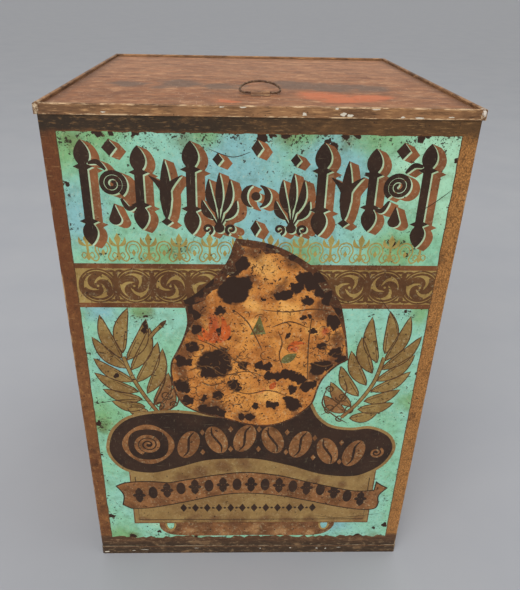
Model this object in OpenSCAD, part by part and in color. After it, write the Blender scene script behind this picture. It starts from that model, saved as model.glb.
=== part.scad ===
// Square tinplate store bin for coffee. Four walls stand in a recessed base,
// the mouth is rolled over a wire, and a lid with a raised rim opens at the back.
// A wire bail in a soldered strap lifts the lid near its front edge.
// Millimetres. The origin is under the middle of the base, +Z up, front at -Y.

/* [Body] */
// Width of the body, left to right
body_w = 330; // [200:1:400]
// Depth of the body, front to back
body_d = 330; // [200:1:400]
// Height of the shut bin, to the top of the lid's rim
bin_h = 490; // [200:1:600]
// Thickness of the tinplate
sheet = 0.5; // [0.3:0.05:0.6]
// Outer radius of the folded upright corners
fold_r = 1.5; // [1:0.1:2.5]
// How far the front and back panels return along the sides
return_w = 10; // [6:1:20]
// Height of the seam round the base, and depth of the recess under it
base_h = 10; // [6:0.5:16]
// Radius of the wire in the rolled mouth
mouth_wire_r = 0.95; // [0.7:0.05:1.2]

/* [Lid] */
// Height of the lid's rim, from its foot to its flat top
rim_h = 8; // [7:0.5:14]
// Width of the rim's flat top
rim_w = 3; // [2.5:0.1:6]
// Outer radius of the rim's folds
rim_r = 0.9; // [0.7:0.05:1.2]
// Depth of the lid's panel below the rim's top
panel_drop = 2.5; // [1.5:0.1:3.5]
// Gap between the rim's skirt and the walls
lid_gap = 1.15; // [0.8:0.05:2]

/* [Hinge] */
// Length of the hinge as a share of the body's width
hinge_part = 0.76; // [0.4:0.02:0.9]
// Number of knuckles, the outer ones on the body
knuckles = 7; // [3:2:9]
// Radius of the hinge's pin
pin_r = 1.2; // [0.9:0.05:1.4]
// Height of the body's hinge leaf below the pin
leaf_h = 22; // [16:1:40]
// Number of rivets in the body's hinge leaf
hinge_rivets = 5; // [2:1:8]

/* [Bail] */
// Radius of the bail's bow, to the middle of the wire
bow_r = 17; // [13:0.1:25]
// Radius of the two bends at the bow's feet
bend_r = 5; // [1.5:0.1:8]
// Radius of the bail's wire
wire_r = 0.9; // [0.7:0.05:1.2]
// Distance of the bail's bar from the front wall
bail_inset = 65; // [45:1:100]
// Distance of the bail from the lid's middle line, to the right
bail_shift = 1; // [-10:0.5:10]
// Angle of the bail above the lid, leaning back
bail_lean = 16; // [0:1:90]
// Width of the strap that holds the bar
strap_w = 16; // [8:1:18]
// Length of the strap's two feet, front and back
strap_foot = 8; // [5:0.5:10]

/* [Hidden] */
$fn = 48;

tinplate = [0.45, 0.27, 0.17];
printed = [0.55, 0.78, 0.72];
lid_paint = [0.66, 0.47, 0.37];
bright = [0.72, 0.72, 0.70];
wire_grey = [0.42, 0.38, 0.35];

half_w = body_w / 2;
half_d = body_d / 2;

// Heights, from the rim down
z_panel = bin_h - panel_drop;
z_mouth = z_panel - sheet - 0.5;
z_rim_foot = bin_h - rim_h;
roll_r = mouth_wire_r + 0.05 + sheet;
z_roll = z_mouth - roll_r;

// The side panels lie inside the returns of the front and back panels
side_x = half_w - sheet;
wire_half_w = side_x - roll_r;
wire_half_d = half_d - roll_r;
wire_bend = 4;

// The rim stands outside the walls by its gap and its sheet
rim_half_w = half_w + lid_gap + sheet;
rim_half_d = half_d + lid_gap + sheet;
butt_gap = 0.3;

// Hinge: its knuckles clear the rim's skirt by hinge_gap
hinge_len = hinge_part * body_w;
pin_clear = 0.08;
hinge_gap = 0.3;
knuckle_in = pin_r + pin_clear;
knuckle_out = knuckle_in + sheet;
pin_y = rim_half_d + hinge_gap + knuckle_out;
pin_z = z_rim_foot;
knuckle_len = hinge_len / knuckles;
knuckle_gap = 0.4;
joggle_low = 6;
joggle_high = knuckle_out + 1.2;
rivet_z = pin_z - (leaf_h + joggle_low) / 2;

// Bail: its strap arches over the bar and stands on the lid's panel
strap_in = wire_r + 0.05;
strap_out = strap_in + sheet;
bar_y = bail_inset - half_d;
bar_z = z_panel + strap_out;
bead = 0.8;

// A rectangle with round corners, centred
module plate_2d(w, d, r) {
    square([w - 2 * r, d], center = true);
    square([w, d - 2 * r], center = true);
    for (x = [-1, 1], y = [-1, 1])
        translate([x * (w / 2 - r), y * (d / 2 - r)]) circle(r);
}

// Extrudes a section drawn in (Y, Z) along X, centred
module along_x(length) {
    rotate([90, 0, 90]) linear_extrude(length, center = true) children();
}

// Extrudes a section drawn in (X, Z) along Y, centred
module along_y(length) {
    rotate([90, 0, 0]) linear_extrude(length, center = true) children();
}

// The rolled edge of a wall whose outer face is the line x = 0 and whose inside
// is at +X: three quarters of a tube, open on the wall's inner side
module roll_2d() {
    translate([roll_r, z_roll]) difference() {
        circle(roll_r);
        circle(roll_r - sheet);
        translate([-roll_r + sheet, -2 * roll_r]) square(2 * roll_r);
    }
}

// The front panel, with a return along each side and its top rolled inwards
module end_panel() {
    translate([0, 0, sheet]) linear_extrude(z_roll - sheet) difference() {
        plate_2d(body_w, body_d, fold_r);
        plate_2d(body_w - 2 * sheet, body_d - 2 * sheet, fold_r - sheet);
        translate([-body_w, return_w - half_d]) square([2 * body_w, 2 * body_d]);
    }
    translate([0, -half_d, 0]) along_x(body_w - 4 * wire_bend) roll_2d();
}

// The left panel: flat, between the returns, with its top rolled inwards
module side_panel() {
    reach = body_d - 2 * (fold_r + 0.1);
    translate([-side_x, -reach / 2, sheet]) cube([sheet, reach, z_roll - sheet]);
    translate([-side_x, 0, 0]) along_y(body_d - 2 * return_w - 4) roll_2d();
}

// Where the rivets of the body's hinge leaf go, as places on the back wall
module at_rivets() {
    pitch = hinge_len / hinge_rivets;
    for (i = [0 : hinge_rivets - 1])
        translate([(i + 0.5) * pitch - hinge_len / 2, half_d, rivet_z])
            rotate([-90, 0, 0]) children();
}

module rivet_hole() {
    translate([0, 0, -2 * sheet]) cylinder(h = 4 * sheet, r = 1.25);
}

// One rivet: a coned head outside, a shank, and a flat tail inside
module rivet() {
    translate([0, 0, -sheet - 0.6]) cylinder(h = 0.6, r = 2);
    translate([0, 0, -sheet]) cylinder(h = 2 * sheet, r = 1.2);
    translate([0, 0, sheet]) cylinder(h = 0.3, r = 2.4);
    translate([0, 0, sheet + 0.3]) cylinder(h = 0.5, r1 = 2.4, r2 = 1.3);
}

// The base: a raised sheet whose edge folds down, under and up round the walls
module bottom_pan() color(tinplate) {
    pan_w = body_w + 2 * sheet;
    pan_d = body_d + 2 * sheet;
    leg_w = 2 * (side_x - sheet);
    leg_d = body_d - 2 * sheet;
    difference() {
        linear_extrude(base_h) plate_2d(pan_w, pan_d, fold_r + sheet);
        translate([0, 0, sheet]) linear_extrude(base_h) difference() {
            plate_2d(body_w, body_d, fold_r);
            plate_2d(leg_w, leg_d, fold_r);
        }
        translate([0, 0, -sheet]) linear_extrude(base_h)
            plate_2d(leg_w - 2 * sheet, leg_d - 2 * sheet, fold_r);
    }
}

module front_panel() color(printed) end_panel();

module back_panel() color(tinplate) difference() {
    rotate(180) end_panel();
    at_rivets() rivet_hole();
}

module left_panel() color(tinplate) side_panel();

module right_panel() color(tinplate) mirror([1, 0, 0]) side_panel();

// A fillet of solder down the edge of each return
module seam_solder() color(bright) {
    edge = half_d - return_w;
    for (x = [0, 1], y = [0, 1])
        mirror([x, 0, 0]) mirror([0, y, 0])
            translate([0, 0, base_h + bead])
                linear_extrude(z_roll - base_h - bead - 1)
                    polygon([[-side_x, -edge], [-half_w, -edge], [-side_x, bead - edge]]);
}

// A fillet of solder on top of the base's seam, along each wall
module base_solder() color(bright) {
    for (y = [0, 1]) mirror([0, y, 0])
        along_x(body_w - 2 * fold_r)
            polygon([[-half_d - sheet, base_h], [-half_d, base_h],
                [-half_d, base_h + bead]]);
    for (x = [0, 1]) mirror([x, 0, 0])
        along_y(body_d - 2 * return_w - 4)
            polygon([[-half_w - sheet, base_h], [-side_x, base_h],
                [-side_x, base_h + bead]]);
}

// The wire inside the rolled mouth, bent round the four corners
module mouth_wire() color(wire_grey) translate([0, 0, z_roll]) {
    for (s = [-1, 1]) {
        translate([0, s * wire_half_d, 0]) rotate([0, 90, 0])
            cylinder(h = 2 * (wire_half_w - wire_bend), r = mouth_wire_r, center = true);
        translate([s * wire_half_w, 0, 0]) rotate([90, 0, 0])
            cylinder(h = 2 * (wire_half_d - wire_bend), r = mouth_wire_r, center = true);
    }
    for (x = [0, 1], y = [0, 1])
        mirror([x, 0, 0]) mirror([0, y, 0])
            translate([wire_half_w - wire_bend, wire_half_d - wire_bend, 0])
                rotate_extrude(angle = 90) translate([wire_bend, 0]) circle(mouth_wire_r);
}

// The knuckles with index first, first + 2 and so on, counted from the left
module knuckle_row(first) {
    for (i = [first : 2 : knuckles - 1])
        translate([(i + 0.5) * knuckle_len - hinge_len / 2, 0, 0])
            along_x(knuckle_len - knuckle_gap) children();
}

// A knuckle's round eye
module eye_2d() {
    translate([pin_y, pin_z]) circle(knuckle_out);
}

module eye_bore() {
    translate([0, pin_y, pin_z]) rotate([0, 90, 0])
        cylinder(h = hinge_len + 2, r = knuckle_in, center = true);
}

// The body's leaf lies on the back wall and steps out to its knuckles
module body_hinge_leaf() color(tinplate) {
    eye_y = pin_y - knuckle_out;
    low = pin_z - joggle_low;
    high = pin_z - joggle_high;
    difference() {
        union() {
            along_x(hinge_len)
                polygon([[half_d, pin_z - leaf_h], [half_d, low], [eye_y, high],
                    [eye_y + sheet, high], [half_d + sheet, low - sheet / 2],
                    [half_d + sheet, pin_z - leaf_h]]);
            knuckle_row(0) {
                eye_2d();
                translate([eye_y, high]) square([sheet, joggle_high]);
            }
        }
        eye_bore();
        at_rivets() rivet_hole();
    }
}

module hinge_rivet_set() color(bright) at_rivets() rivet();

module hinge_pin() color(wire_grey)
    translate([0, pin_y, pin_z]) rotate([0, 90, 0])
        cylinder(h = hinge_len + 1, r = pin_r, center = true);

// The lid's flat panel, with its edges inside the rim
module lid_panel() color(lid_paint)
    translate([-rim_half_w + sheet, -rim_half_d + sheet, z_panel - sheet])
        cube([2 * (rim_half_w - sheet), 2 * (rim_half_d - sheet), sheet]);

// The rim's section, its outer face on the line x = 0 and the lid at +X:
// a skirt outside, a flat top and a short lip that stands on the panel
module rim_2d() {
    difference() {
        translate([0, z_rim_foot]) square([rim_w, rim_h]);
        translate([sheet, z_rim_foot - 1]) square([rim_w - 2 * sheet, rim_h + 1 - sheet]);
        translate([rim_w - 2 * sheet, z_rim_foot - 1])
            square([3 * sheet, rim_h + 1 - panel_drop]);
        for (side = [0, rim_w]) fold_cut_2d(side);
    }
}

// What a fold takes off the corner of the rim at the given side
module fold_cut_2d(side) {
    inner = side > 0 ? side - rim_r : rim_r;
    difference() {
        translate([min(side, inner), bin_h - rim_r]) square(rim_r + 0.01);
        translate([inner, bin_h - rim_r]) circle(rim_r);
        translate([inner - 0.01, bin_h - rim_r]) square([0.02, rim_r]);
    }
}

// The front strip of the rim, which butts between the side strips
module rim_end() {
    translate([0, -rim_half_d, 0])
        along_x(2 * (rim_half_w - rim_w - butt_gap)) rim_2d();
}

module rim_side() {
    translate([-rim_half_w, 0, 0]) along_y(2 * rim_half_d) rim_2d();
}

module lid_rim_front() color(lid_paint) rim_end();

module lid_rim_back() color(lid_paint) rotate(180) rim_end();

module lid_rim_left() color(lid_paint) rim_side();

module lid_rim_right() color(lid_paint) mirror([1, 0, 0]) rim_side();

// Solder that fills the open ends of the side strips
module lid_corner_solder() color(bright) {
    wide = rim_w - 2 * sheet;
    left = sheet - rim_half_w;
    for (x = [0, 1], y = [0, 1]) mirror([x, 0, 0]) mirror([0, y, 0]) {
        translate([left, -rim_half_d, z_rim_foot])
            cube([wide, sheet, rim_h - sheet]);
        translate([left, -rim_half_d + sheet, z_panel])
            cube([wide, 6, panel_drop - sheet]);
    }
}

// The lid's leaf lies on the skirt and reaches down to its knuckles
module lid_hinge_leaf() color(lid_paint) {
    foot = pin_z + knuckle_out + 1;
    top = bin_h - rim_r - 0.3;
    eye_y = pin_y - knuckle_out;
    difference() {
        union() {
            translate([-hinge_len / 2, rim_half_d, foot])
                cube([hinge_len, sheet, top - foot]);
            knuckle_row(1) {
                eye_2d();
                polygon([[rim_half_d, foot], [eye_y, pin_z], [eye_y + sheet, pin_z],
                    [rim_half_d + sheet, foot]]);
            }
        }
        eye_bore();
    }
}

// A fillet of solder on the upper edge of the lid's leaf
module lid_hinge_solder() color(bright) {
    top = bin_h - rim_r - 0.3;
    along_x(hinge_len - 4)
        polygon([[rim_half_d, top], [rim_half_d + sheet, top], [rim_half_d, top + 0.3]]);
}

// The strap: an arch over the bar with a foot in front and one behind
module bail_strap() color(lid_paint) translate([bail_shift, bar_y, z_panel])
    along_x(strap_w) difference() {
        union() {
            translate([0, strap_out]) circle(strap_out);
            translate([-strap_out, 0]) square([2 * strap_out, strap_out]);
            translate([-strap_out - strap_foot, 0])
                square([2 * (strap_out + strap_foot), sheet]);
        }
        translate([0, strap_out]) circle(strap_in);
        translate([-strap_in, -1]) square([2 * strap_in, strap_out + 1]);
    }

// A fillet of solder at the end of each of the strap's feet
module strap_solder() color(bright) translate([bail_shift, bar_y, z_panel])
    for (s = [0, 1]) mirror([0, s, 0])
        along_x(strap_w) translate([strap_out + strap_foot, 0])
            polygon([[0, 0], [bead, 0], [0, sheet]]);

// The bail: a straight bar along X, two tight bends and a round bow
module bail() color(wire_grey)
    translate([bail_shift, bar_y, bar_z]) rotate([bail_lean, 0, 0]) {
        rotate([0, 90, 0])
            cylinder(h = 2 * (bow_r - bend_r), r = wire_r, center = true);
        for (s = [0, 1]) mirror([s, 0, 0])
            translate([bow_r - bend_r, bend_r, 0]) rotate(-90)
                rotate_extrude(angle = 90) translate([bend_r, 0]) circle(wire_r);
        translate([0, bend_r, 0])
            rotate_extrude(angle = 180) translate([bow_r, 0]) circle(wire_r);
    }

bottom_pan();
front_panel();
back_panel();
left_panel();
right_panel();
seam_solder();
base_solder();
mouth_wire();
body_hinge_leaf();
hinge_rivet_set();
hinge_pin();
lid_panel();
lid_rim_front();
lid_rim_back();
lid_rim_left();
lid_rim_right();
lid_corner_solder();
lid_hinge_leaf();
lid_hinge_solder();
bail_strap();
strap_solder();
bail();
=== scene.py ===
import math
import random

import bmesh
import bpy
from mathutils import Matrix, Vector, noise
from mathutils.geometry import delaunay_2d_cdt


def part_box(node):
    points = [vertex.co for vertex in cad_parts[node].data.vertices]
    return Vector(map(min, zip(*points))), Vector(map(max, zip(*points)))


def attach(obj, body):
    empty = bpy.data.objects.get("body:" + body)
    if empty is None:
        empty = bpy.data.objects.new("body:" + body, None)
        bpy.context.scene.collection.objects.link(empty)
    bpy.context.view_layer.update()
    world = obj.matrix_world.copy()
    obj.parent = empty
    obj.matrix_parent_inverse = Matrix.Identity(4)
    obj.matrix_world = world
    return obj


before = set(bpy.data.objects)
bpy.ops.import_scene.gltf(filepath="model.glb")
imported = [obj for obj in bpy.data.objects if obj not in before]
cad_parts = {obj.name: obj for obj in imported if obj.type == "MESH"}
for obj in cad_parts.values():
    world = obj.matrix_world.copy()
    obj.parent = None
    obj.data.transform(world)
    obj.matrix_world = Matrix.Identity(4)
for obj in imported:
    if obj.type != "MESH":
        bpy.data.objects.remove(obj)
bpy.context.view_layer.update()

# ---------------------------------------------------------------- the frame
# Lengths in metres come from the frame. Drawings are in millimetres: x from
# the middle of the bin and z up from the surface that it stands on.
MM = 0.001
FRONT_LOW, FRONT_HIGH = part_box("front_panel")
LID_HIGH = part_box("lid_panel")[1]
RIM_LOW, RIM_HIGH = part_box("lid_rim_front")
PAN_LOW, PAN_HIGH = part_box("bottom_pan")
BODY_W = FRONT_HIGH.x - FRONT_LOW.x
FRONT_Y = FRONT_LOW.y
HALF_W_MM = BODY_W / 2 / MM
RIM_TOP_MM = RIM_HIGH.z / MM
RIM_FOOT_MM = RIM_LOW.z / MM
LID_TOP_MM = LID_HIGH.z / MM
SEAM_MM = PAN_HIGH.z / MM
# The thickness of every wall, as in the CAD source.
SHEET_MM = 0.5


# ---------------------------------------------------------------- the camera
def aim_camera():
    """In front of the bin and above it, looking down, with a slight roll."""
    place = Vector((-0.0626, -1.8142, 1.7202)) * BODY_W
    pitch, yaw, roll = (math.radians(a) for a in (28.34, 1.77, 1.2))
    ahead = Vector((math.sin(yaw) * math.cos(pitch), math.cos(yaw) * math.cos(pitch),
                    -math.sin(pitch)))
    right = Vector((math.cos(yaw), -math.sin(yaw), 0))
    up = right.cross(ahead)
    side = math.cos(roll) * right + math.sin(roll) * up
    top = math.cos(roll) * up - math.sin(roll) * right
    data = bpy.data.cameras.new("camera")
    data.lens = 34.96
    data.sensor_width = 36
    data.shift_x = 0.0195
    data.shift_y = -0.002
    data.clip_start = 0.02
    camera = bpy.data.objects.new("camera", data)
    turn = Matrix((side, top, -ahead)).transposed()
    camera.matrix_world = Matrix.Translation(place) @ turn.to_4x4()
    bpy.context.scene.collection.objects.link(camera)
    bpy.context.scene.camera = camera


aim_camera()


# ---------------------------------------------------------------- materials
def rgb(red, green, blue):
    """A colour given as it looks on a screen, from 0 to 255, as linear light."""
    def linear(c):
        c = c / 255
        return c / 12.92 if c <= 0.04045 else ((c + 0.055) / 1.055) ** 2.4
    return (linear(red), linear(green), linear(blue), 1)


EVEN = (1, 1, 1)


class Paint:
    """A material being built from nodes. Its place is the row frame in mm."""

    def __init__(self, name):
        self.material = bpy.data.materials.new(name)
        self.material.use_nodes = True
        self.tree = self.material.node_tree
        self.shader = self.tree.nodes["Principled BSDF"]
        place = self.add("ShaderNodeTexCoord").outputs["Object"]
        scaled = self.add("ShaderNodeVectorMath", operation="SCALE")
        self.feed(scaled.inputs[0], place)
        scaled.inputs["Scale"].default_value = 1 / MM
        self.mm = scaled.outputs[0]
        split = self.add("ShaderNodeSeparateXYZ")
        self.feed(split.inputs[0], self.mm)
        self.x, self.y, self.z = split.outputs

    def add(self, kind, **settings):
        node = self.tree.nodes.new(kind)
        for key, value in settings.items():
            setattr(node, key, value)
        return node

    def feed(self, socket, value):
        if isinstance(value, bpy.types.NodeSocket):
            self.tree.links.new(value, socket)
        else:
            socket.default_value = value

    def math(self, operation, a, b=0.0):
        node = self.add("ShaderNodeMath", operation=operation)
        self.feed(node.inputs[0], a)
        self.feed(node.inputs[1], b)
        return node.outputs[0]

    def share(self, value, amount):
        return self.math("MULTIPLY", value, amount)

    def total(self, a, b):
        return self.math("ADD", a, b)

    def less(self, a, b):
        return self.math("SUBTRACT", a, b)

    def unsigned(self, value):
        return self.math("ABSOLUTE", value)

    def most(self, *values):
        top = values[0]
        for value in values[1:]:
            top = self.math("MAXIMUM", top, value)
        return top

    def step(self, value, low, high):
        """0 below low and 1 above high, smooth between. Low may be above high."""
        node = self.add("ShaderNodeMapRange", interpolation_type="SMOOTHSTEP")
        self.feed(node.inputs["Value"], value)
        node.inputs["From Min"].default_value = low
        node.inputs["From Max"].default_value = high
        return node.outputs[0]

    def mix(self, share, a, b, mode="MIX"):
        node = self.add("ShaderNodeMix", data_type="RGBA", blend_type=mode)
        self.feed(node.inputs[0], share)
        self.feed(node.inputs[6], a)
        self.feed(node.inputs[7], b)
        return node.outputs[2]

    def wash(self, colour, mask, amount, tone):
        """The colour under a layer of tone, as strong as amount where mask is 1."""
        return self.mix(self.share(mask, amount), colour, tone)

    def grain(self, colour, amount, field, dark, light):
        """The colour, darkened and lightened as a field goes from 0 to 1."""
        return self.mix(amount, colour, self.mix(field, dark, light), "OVERLAY")

    def at(self, size, stretch=EVEN, seed=0):
        """Coordinates in which one unit is size mm, longer where it is stretched."""
        node = self.add("ShaderNodeMapping")
        self.feed(node.inputs["Vector"], self.mm)
        node.inputs["Scale"].default_value = [1 / size / s for s in stretch]
        node.inputs["Location"].default_value = (7.1 * seed, 3.3 * seed, 5.7 * seed)
        return node.outputs[0]

    def noise(self, size, stretch=EVEN, seed=0, detail=4, rough=0.55):
        node = self.add("ShaderNodeTexNoise")
        self.feed(node.inputs["Vector"], self.at(size, stretch, seed))
        node.inputs["Scale"].default_value = 1
        node.inputs["Detail"].default_value = detail
        node.inputs["Roughness"].default_value = rough
        return node.outputs["Fac"]

    def cloud(self, low, high, size, stretch=EVEN, seed=0, detail=4, rough=0.55):
        """Noise as a mask: 0 where it is below low and 1 where it is above high."""
        return self.step(self.noise(size, stretch, seed, detail, rough), low, high)

    def warped(self, size, reach, seed=0, detail=4):
        """The place in mm, pushed about by up to reach mm."""
        node = self.add("ShaderNodeTexNoise")
        self.feed(node.inputs["Vector"], self.at(size, seed=seed))
        node.inputs["Scale"].default_value = 1
        node.inputs["Detail"].default_value = detail
        away = self.add("ShaderNodeVectorMath", operation="SUBTRACT")
        self.feed(away.inputs[0], node.outputs["Color"])
        away.inputs[1].default_value = (0.5, 0.5, 0.5)
        push = self.add("ShaderNodeVectorMath", operation="MULTIPLY_ADD")
        self.feed(push.inputs[0], away.outputs[0])
        push.inputs[1].default_value = (2 * reach,) * 3
        self.feed(push.inputs[2], self.mm)
        return push.outputs[0]

    def specks(self, size, share, seed=0, more=0.0):
        """Scattered irregular specks of about size mm. A higher share gives more, and
        so does a place where more is above 0."""
        field = self.noise(size * 1.7, seed=seed, detail=3, rough=0.6)
        field = self.total(field, self.share(more, 0.09))
        limit = 0.74 - 0.16 * share
        return self.step(field, limit, limit + 0.02)

    def spots(self, marks, where):
        """How deep a place is in the round marks (x, y, z, radius): 1 in the middle,
        0 on the edge and below 0 outside."""
        deepest = -1.0
        for x, y, z, radius in marks:
            node = self.add("ShaderNodeVectorMath", operation="DISTANCE")
            self.feed(node.inputs[0], where)
            node.inputs[1].default_value = (x, y, z)
            part = self.total(self.share(node.outputs["Value"], -1 / radius), 1.0)
            deepest = self.most(part, deepest)
        return deepest

    def edges(self, radius):
        """1 on the sharp edges of the mesh, within about radius mm."""
        soft = self.add("ShaderNodeBevel", samples=4)
        soft.inputs["Radius"].default_value = radius * MM
        hard = self.add("ShaderNodeNewGeometry")
        both = self.add("ShaderNodeVectorMath", operation="DOT_PRODUCT")
        self.feed(both.inputs[0], soft.outputs[0])
        self.feed(both.inputs[1], hard.outputs["True Normal"])
        return self.step(both.outputs["Value"], 0.985, 0.80)

    def bump(self, height, depth, onto=None):
        """Raises the surface by up to depth mm where height is 1."""
        node = self.add("ShaderNodeBump")
        node.inputs["Strength"].default_value = 1
        node.inputs["Distance"].default_value = depth * MM
        self.feed(node.inputs["Height"], height)
        if onto is not None:
            self.feed(node.inputs["Normal"], onto)
        return node.outputs[0]

    def mottle(self, colour, size, amount, seed, dark, light, stretch=EVEN):
        """Cloudy darker and lighter places of about size mm."""
        field = self.noise(size, stretch, seed, 6, 0.68)
        colour = self.wash(colour, self.step(field, 0.47, 0.30), amount, dark)
        return self.wash(colour, self.step(field, 0.53, 0.70), amount, light)

    def done(self, colour, rough, normal, metal=0.0):
        self.shader.inputs["Specular IOR Level"].default_value = 0.22
        self.feed(self.shader.inputs["Base Color"], colour)
        self.feed(self.shader.inputs["Roughness"], rough)
        self.feed(self.shader.inputs["Metallic"], metal)
        self.feed(self.shader.inputs["Normal"], normal)
        return self.material


RUST = rgb(84, 52, 31)
DARK_RUST = rgb(50, 33, 24)


def on_front(marks):
    """Round marks (x, z, radius) on the front wall."""
    return [(x, FRONT_Y / MM, z, radius) for x, z, radius in marks]


def on_lid(marks):
    """Round marks (x, y, radius) on top of the lid."""
    return [(x, y, LID_TOP_MM, radius) for x, y, radius in marks]


def wall_dents(paint):
    """The walls' broad, shallow dents, the same in the ink and in the tin under it."""
    return paint.bump(paint.noise(90, seed=10, detail=1), 1.2)


def bare_tin(paint):
    """The grey, tarnished metal of the faces that were never painted."""
    return paint.mottle(rgb(128, 116, 98), 24, 0.7, 22, rgb(96, 76, 54), rgb(152, 144, 130))


def worn_print(name, tone, other, rust=0.2, patch=30, marks=(), grime=0.35, areas=(), crowd=()):
    """Lithographed ink: two tones that drift into each other, rust specks, fine
    scratches, the given rust marks (x, z, radius), areas of another colour
    (colour, strength, marks) that fade out at their edges, and crowd marks in
    which the specks are denser."""
    paint = Paint(name)
    colour = paint.mix(paint.cloud(0.38, 0.62, patch, seed=1), tone, other)
    wide = paint.warped(22, 16, 90, 5)
    for tint, strength, places in areas:
        depth = paint.step(paint.spots(on_front(places), wide), -0.05, 0.75)
        colour = paint.wash(colour, depth, strength, tint)
    cloud = paint.cloud(0.42, 0.70, 10, seed=2, detail=7, rough=0.7)
    colour = paint.mix(paint.share(cloud, grime), colour, rgb(150, 132, 90), "MULTIPLY")
    colour = paint.mottle(colour, 2.6, grime * 0.55, 3, rgb(84, 74, 46), rgb(214, 204, 160))
    dense = paint.share(paint.cloud(0.45, 0.65, 20, seed=6, detail=5), 0.35)
    if crowd:
        near = paint.spots(on_front(crowd), wide)
        dense = paint.most(dense, paint.step(near, -0.1, 0.9))
    specks = paint.most(paint.specks(2.6, rust, 4, dense), paint.specks(1.5, rust, 5, dense),
                        paint.specks(0.9, rust, 63, dense))
    level = paint.noise(0.7, (30, 1, 0.7), seed=7, detail=2)
    upright = paint.noise(0.7, (0.7, 1, 14), seed=8, detail=2)
    scratch = paint.step(paint.most(level, upright), 0.71, 0.77)
    colour = paint.wash(colour, scratch, 0.4, rgb(196, 182, 146))
    colour = paint.wash(colour, specks, 0.9, DARK_RUST)
    eaten = specks
    if marks:
        lobes = paint.spots(on_front(marks), paint.warped(5.5, 5.0, 9, 7))
        colour = paint.wash(colour, paint.step(lobes, -0.10, 0.04), 0.8, RUST)
        colour = paint.mix(paint.step(lobes, 0.01, 0.10), colour, DARK_RUST)
        eaten = paint.most(specks, paint.step(lobes, 0.0, 0.1))
    sheen = paint.total(paint.share(cloud, 0.14), 0.36)
    rough = paint.total(paint.share(eaten, 0.3), sheen)
    fine = paint.less(paint.share(cloud, 0.25), eaten)
    return paint.done(colour, rough, paint.bump(fine, 0.05, wall_dents(paint)))


def side_wear(paint, colour):
    """Wear of the plain walls: darker corners, drips, blooms and rubbed places."""
    across, along = paint.unsigned(paint.x), paint.unsigned(paint.y)
    side = paint.step(paint.most(across, along), HALF_W_MM - 3, HALF_W_MM - 2)
    beside = paint.math("MINIMUM", across, along)
    beside = paint.total(beside, paint.share(paint.noise(40, (1, 1, 4), 24, 6), 40))
    corner = paint.share(paint.step(beside, 140, 185), side)
    colour = paint.wash(colour, corner, 0.7, rgb(80, 48, 28))
    drip = paint.noise(9, (1, 1, 22), 25, 5, 0.6)
    colour = paint.wash(colour, paint.step(drip, 0.56, 0.70), 0.4, rgb(86, 54, 32))
    colour = paint.wash(colour, paint.step(drip, 0.42, 0.30), 0.25, rgb(158, 112, 66))
    bloom = paint.cloud(0.58, 0.63, 34, EVEN, 67, 9, 0.62)
    colour = paint.wash(colour, bloom, 0.55, rgb(78, 47, 29))
    rubbed = paint.cloud(0.60, 0.68, 46, (1, 1, 1.5), 26, 8, 0.66)
    return paint.wash(colour, rubbed, 0.6, rgb(146, 120, 92))


def front_border(paint, colour):
    """The front's border: reddish at the upper left, stained all round, and golden
    with a fine grain at the right."""
    left = paint.share(paint.step(paint.x, -110, -160), paint.step(paint.z, 200, 400))
    colour = paint.wash(colour, left, 0.75, rgb(98, 53, 28))
    stain = paint.cloud(0.55, 0.68, 15, (1, 1, 1.6), 66, 7, 0.6)
    colour = paint.wash(colour, stain, 0.5, rgb(58, 36, 22))
    field = paint.cloud(0.36, 0.66, 1.2, (1, 1, 1.3), 28, 4, 0.7)
    amount = paint.total(paint.share(paint.step(paint.x, 110, 165), 0.45), 0.18)
    return paint.grain(colour, amount, field, rgb(56, 50, 42), rgb(226, 220, 208))


def foot_band(paint, level):
    """The dark, streaked band round the foot, with a painted highlight along the ridge over its
    seam.
    """
    band = paint.mix(paint.step(level, 16, 30), rgb(68, 51, 36), rgb(92, 62, 40))
    streak = paint.cloud(0.36, 0.68, 1.6, (26, 26, 1), 16)
    band = paint.wash(band, streak, 0.3, rgb(42, 32, 24))
    band = paint.mottle(band, 11, 0.75, 27, rgb(46, 34, 24), rgb(138, 106, 74), (2, 2, 1))
    band = paint.mottle(band, 3, 0.6, 29, rgb(44, 33, 24), rgb(158, 130, 96), (2, 2, 1))
    # Painted highlight: a broken pale line along the ridge just above the seam.
    away = paint.unsigned(paint.less(paint.z, SEAM_MM + 1.0))
    ridge_highlight = paint.share(paint.step(away, 1.1, 0.5), paint.cloud(0.44, 0.60, 16, EVEN, 30, 7, 0.7))
    return paint.wash(band, ridge_highlight, 0.6, rgb(188, 168, 136))


def dark_margin_and_rim_shade(paint):
    """The body's dark top margin just under the rim: dark paint, with painted shade where the rim
    overhangs it.
    """
    margin_and_shade = paint.mix(paint.step(paint.x, -60, 120), rgb(44, 36, 25), rgb(84, 60, 36))
    margin_and_shade = paint.mottle(margin_and_shade, 12, 0.45, 23, rgb(32, 28, 20), rgb(130, 92, 54), (3, 3, 1))
    return paint.mottle(margin_and_shade, 1.6, 0.55, 64, rgb(30, 26, 20), rgb(150, 112, 70), (4, 4, 1))


def fold_rub(paint):
    """1 where the paint is rubbed off the walls' folds and corners."""
    fold = paint.math("MINIMUM", paint.unsigned(paint.x), paint.unsigned(paint.y))
    fold = paint.most(paint.edges(0.9), paint.step(fold, HALF_W_MM - 1.9, HALF_W_MM - 0.6))
    return paint.share(fold, paint.cloud(0.50, 0.64, 11, (1, 1, 2.5), 21, 9, 0.74))


def inner_faces(paint):
    """1 on the faces inside the bin. The side sheets stand one sheet further in than
    the front and back ones, and the change comes halfway through each."""
    side, end = HALF_W_MM - 1.5 * SHEET_MM, HALF_W_MM - 0.5 * SHEET_MM
    across = paint.step(paint.unsigned(paint.x), side + 0.03, side - 0.03)
    along = paint.step(paint.unsigned(paint.y), end + 0.03, end - 0.03)
    above = paint.step(paint.z, SEAM_MM - 0.3, SEAM_MM - 0.2)
    return paint.share(paint.share(across, along), above)


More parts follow.
